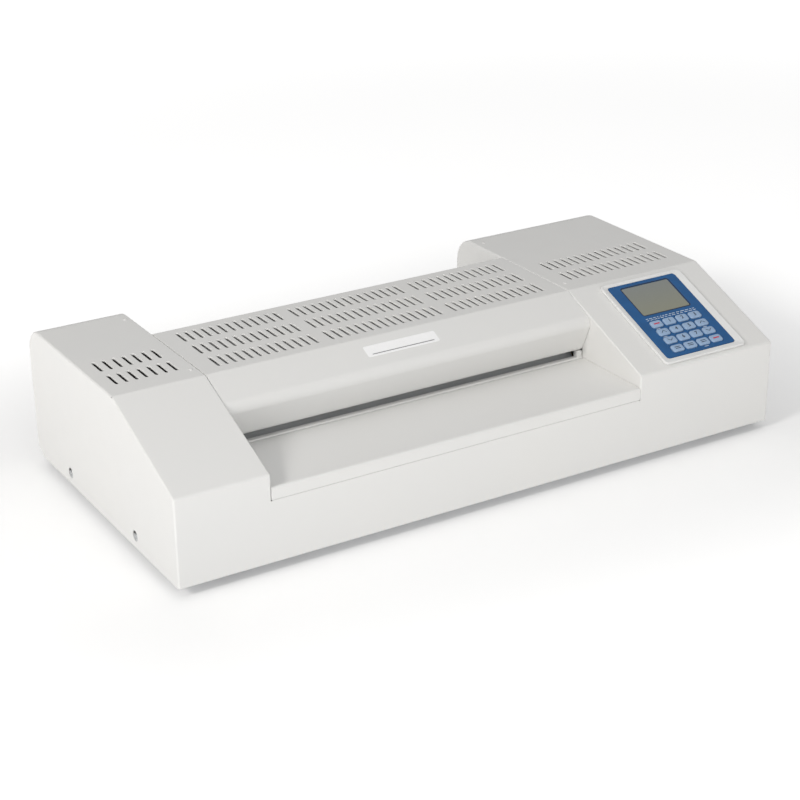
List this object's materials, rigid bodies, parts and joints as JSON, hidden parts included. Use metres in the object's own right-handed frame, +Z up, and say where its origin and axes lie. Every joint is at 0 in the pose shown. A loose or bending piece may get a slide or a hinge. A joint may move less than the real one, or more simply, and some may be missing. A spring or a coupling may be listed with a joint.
{
  "type": "desktop roll laminator",
  "caption": "Desktop roll laminator: sloped sheet-steel case with a feed table, slotted top cover, keypad panel and geared, sprung roller pairs.",
  "frame": {"origin": "centre of the case's plan on the plane of the foot soles", "axes": "+X to the operator's right along the rollers, +Y from the feed side to the exit side, +Z up"},
  "size_m": [0.561, 0.2837, 0.1234],
  "materials": {
    "enamel": "smooth off-white powder coat, slightly glossy",
    "zinc": "zinc-plated sheet steel",
    "spring_steel": "bare spring wire",
    "silicone": "matte light grey silicone roller sleeve",
    "foot_rubber": "matte black rubber",
    "bronze": "sintered bearing bronze",
    "acetal": "natural acetal plastic",
    "heater_plate": "mill-finish aluminium",
    "motor_steel": "dull motor steel",
    "circuit_board": "green circuit board",
    "blue_film": "blue printed film, satin",
    "key_plastic": "pale blue moulded keys",
    "bezel_plastic": "light grey moulded frame",
    "display": "grey-green liquid crystal window",
    "black_plastic": "black moulded plastic"
  },
  "bodies": {
    "case": {"outer_case": "enamel", "top_cover": "enamel", "feed_table": "enamel", "entry_guide": "enamel", "exit_guide": "enamel", "rear_panel": "enamel", "base_pan": "zinc", "foot_front_left": "foot_rubber", "foot_front_right": "foot_rubber", "foot_rear_left": "foot_rubber", "foot_rear_right": "foot_rubber", "panel_bezel": "bezel_plastic", "keypad_overlay": "blue_film", "display_window": "display", "control_board": "circuit_board", "left_frame": "zinc", "right_frame": "zinc", "front_left_bush": "bronze", "front_right_bush": "bronze", "rear_left_bush": "bronze", "rear_right_bush": "bronze", "upper_heater": "heater_plate", "lower_heater": "heater_plate", "gear_motor": "motor_steel", "mains_inlet": "black_plastic", "front_left_spring": "spring_steel", "front_right_spring": "spring_steel", "rear_left_spring": "spring_steel", "rear_right_spring": "spring_steel"},
    "front_lower_roll": {"front_lower_roller": "silicone", "front_lower_gear": "acetal"},
    "rear_lower_roll": {"rear_lower_roller": "silicone", "rear_lower_gear": "acetal"},
    "front_carriage": {"front_left_bearing_block": "acetal", "front_right_bearing_block": "acetal"},
    "rear_carriage": {"rear_left_bearing_block": "acetal", "rear_right_bearing_block": "acetal"},
    "front_upper_roll": {"front_upper_roller": "silicone", "front_upper_gear": "acetal"},
    "rear_upper_roll": {"rear_upper_roller": "silicone", "rear_upper_gear": "acetal"},
    "idler": {"idler_gear": "acetal"},
    "pinion": {"motor_pinion": "zinc"},
    "power_switch": {"rocker_switch": "black_plastic"},
    "key_r1_c1": {"key_r1_c1": "key_plastic"},
    "key_r1_c2": {"key_r1_c2": "key_plastic"},
    "key_r1_c3": {"key_r1_c3": "key_plastic"},
    "key_r1_c4": {"key_r1_c4": "key_plastic"},
    "key_r2_c1": {"key_r2_c1": "key_plastic"},
    "key_r2_c2": {"key_r2_c2": "key_plastic"},
    "key_r2_c3": {"key_r2_c3": "key_plastic"},
    "key_r2_c4": {"key_r2_c4": "key_plastic"},
    "key_r3_c1": {"key_r3_c1": "key_plastic"},
    "key_r3_c2": {"key_r3_c2": "key_plastic"},
    "key_r3_c3": {"key_r3_c3": "key_plastic"},
    "key_r3_c4": {"key_r3_c4": "key_plastic"},
    "key_r4_c1": {"key_r4_c1": "key_plastic"},
    "key_r4_c2": {"key_r4_c2": "key_plastic"},
    "key_r4_c3": {"key_r4_c3": "key_plastic"},
    "key_r4_c4": {"key_r4_c4": "key_plastic"}
  },
  "joints": [
    {"name": "front_lower_spin", "type": "hinge", "parent": "case", "child": "front_lower_roll", "pos_m": [0, -0.036, 0.05775], "axis": [1, 0, 0], "continuous": true},
    {"name": "rear_lower_spin", "type": "hinge", "parent": "case", "child": "rear_lower_roll", "pos_m": [0, 0.024, 0.05775], "axis": [1, 0, 0], "continuous": true},
    {"name": "idler_spin", "type": "hinge", "parent": "case", "child": "idler", "pos_m": [0, -0.006, 0.05775], "axis": [1, 0, 0], "continuous": true},
    {"name": "pinion_spin", "type": "hinge", "parent": "case", "child": "pinion", "pos_m": [0, -0.006, 0.08175], "axis": [1, 0, 0], "continuous": true},
    {"name": "front_lift", "type": "slide", "parent": "case", "child": "front_carriage", "axis": [0, 0, 1], "range_m": [0, 0.002], "stiffness_N_per_m": 8000, "springref_m": -0.004, "deforming": ["front_left_spring", "front_right_spring"]},
    {"name": "rear_lift", "type": "slide", "parent": "case", "child": "rear_carriage", "axis": [0, 0, 1], "range_m": [0, 0.002], "stiffness_N_per_m": 8000, "springref_m": -0.004, "deforming": ["rear_left_spring", "rear_right_spring"]},
    {"name": "front_upper_spin", "type": "hinge", "parent": "front_carriage", "child": "front_upper_roll", "pos_m": [0, -0.036, 0.08775], "axis": [1, 0, 0], "continuous": true},
    {"name": "rear_upper_spin", "type": "hinge", "parent": "rear_carriage", "child": "rear_upper_roll", "pos_m": [0, 0.024, 0.08775], "axis": [1, 0, 0], "continuous": true},
    {"name": "power_switch_rock", "type": "hinge", "parent": "case", "child": "power_switch", "pos_m": [0.214, 0.1375, 0.0735], "axis": [0, 0, 1], "range_deg": [-20, 0]},
    {"name": "key_r1_c1_press", "type": "slide", "parent": "case", "child": "key_r1_c1", "axis": [0, 0.3784, -0.9256], "range_m": [0, 0.0008], "stiffness_N_per_m": 600},
    {"name": "key_r1_c2_press", "type": "slide", "parent": "case", "child": "key_r1_c2", "axis": [0, 0.3784, -0.9256], "range_m": [0, 0.0008], "stiffness_N_per_m": 600},
    {"name": "key_r1_c3_press", "type": "slide", "parent": "case", "child": "key_r1_c3", "axis": [0, 0.3784, -0.9256], "range_m": [0, 0.0008], "stiffness_N_per_m": 600},
    {"name": "key_r1_c4_press", "type": "slide", "parent": "case", "child": "key_r1_c4", "axis": [0, 0.3784, -0.9256], "range_m": [0, 0.0008], "stiffness_N_per_m": 600},
    {"name": "key_r2_c1_press", "type": "slide", "parent": "case", "child": "key_r2_c1", "axis": [0, 0.3784, -0.9256], "range_m": [0, 0.0008], "stiffness_N_per_m": 600},
    {"name": "key_r2_c2_press", "type": "slide", "parent": "case", "child": "key_r2_c2", "axis": [0, 0.3784, -0.9256], "range_m": [0, 0.0008], "stiffness_N_per_m": 600},
    {"name": "key_r2_c3_press", "type": "slide", "parent": "case", "child": "key_r2_c3", "axis": [0, 0.3784, -0.9256], "range_m": [0, 0.0008], "stiffness_N_per_m": 600},
    {"name": "key_r2_c4_press", "type": "slide", "parent": "case", "child": "key_r2_c4", "axis": [0, 0.3784, -0.9256], "range_m": [0, 0.0008], "stiffness_N_per_m": 600},
    {"name": "key_r3_c1_press", "type": "slide", "parent": "case", "child": "key_r3_c1", "axis": [0, 0.3784, -0.9256], "range_m": [0, 0.0008], "stiffness_N_per_m": 600},
    {"name": "key_r3_c2_press", "type": "slide", "parent": "case", "child": "key_r3_c2", "axis": [0, 0.3784, -0.9256], "range_m": [0, 0.0008], "stiffness_N_per_m": 600},
    {"name": "key_r3_c3_press", "type": "slide", "parent": "case", "child": "key_r3_c3", "axis": [0, 0.3784, -0.9256], "range_m": [0, 0.0008], "stiffness_N_per_m": 600},
    {"name": "key_r3_c4_press", "type": "slide", "parent": "case", "child": "key_r3_c4", "axis": [0, 0.3784, -0.9256], "range_m": [0, 0.0008], "stiffness_N_per_m": 600},
    {"name": "key_r4_c1_press", "type": "slide", "parent": "case", "child": "key_r4_c1", "axis": [0, 0.3784, -0.9256], "range_m": [0, 0.0008], "stiffness_N_per_m": 600},
    {"name": "key_r4_c2_press", "type": "slide", "parent": "case", "child": "key_r4_c2", "axis": [0, 0.3784, -0.9256], "range_m": [0, 0.0008], "stiffness_N_per_m": 600},
    {"name": "key_r4_c3_press", "type": "slide", "parent": "case", "child": "key_r4_c3", "axis": [0, 0.3784, -0.9256], "range_m": [0, 0.0008], "stiffness_N_per_m": 600},
    {"name": "key_r4_c4_press", "type": "slide", "parent": "case", "child": "key_r4_c4", "axis": [0, 0.3784, -0.9256], "range_m": [0, 0.0008], "stiffness_N_per_m": 600}
  ],
  "couplings": [
    {"joint": "rear_lower_spin", "follows": "front_lower_spin", "ratio": 1},
    {"joint": "idler_spin", "follows": "front_lower_spin", "ratio": -1},
    {"joint": "pinion_spin", "follows": "front_lower_spin", "ratio": 1.6667},
    {"joint": "front_upper_spin", "follows": "front_lower_spin", "ratio": -1},
    {"joint": "rear_upper_spin", "follows": "front_lower_spin", "ratio": -1}
  ]
}
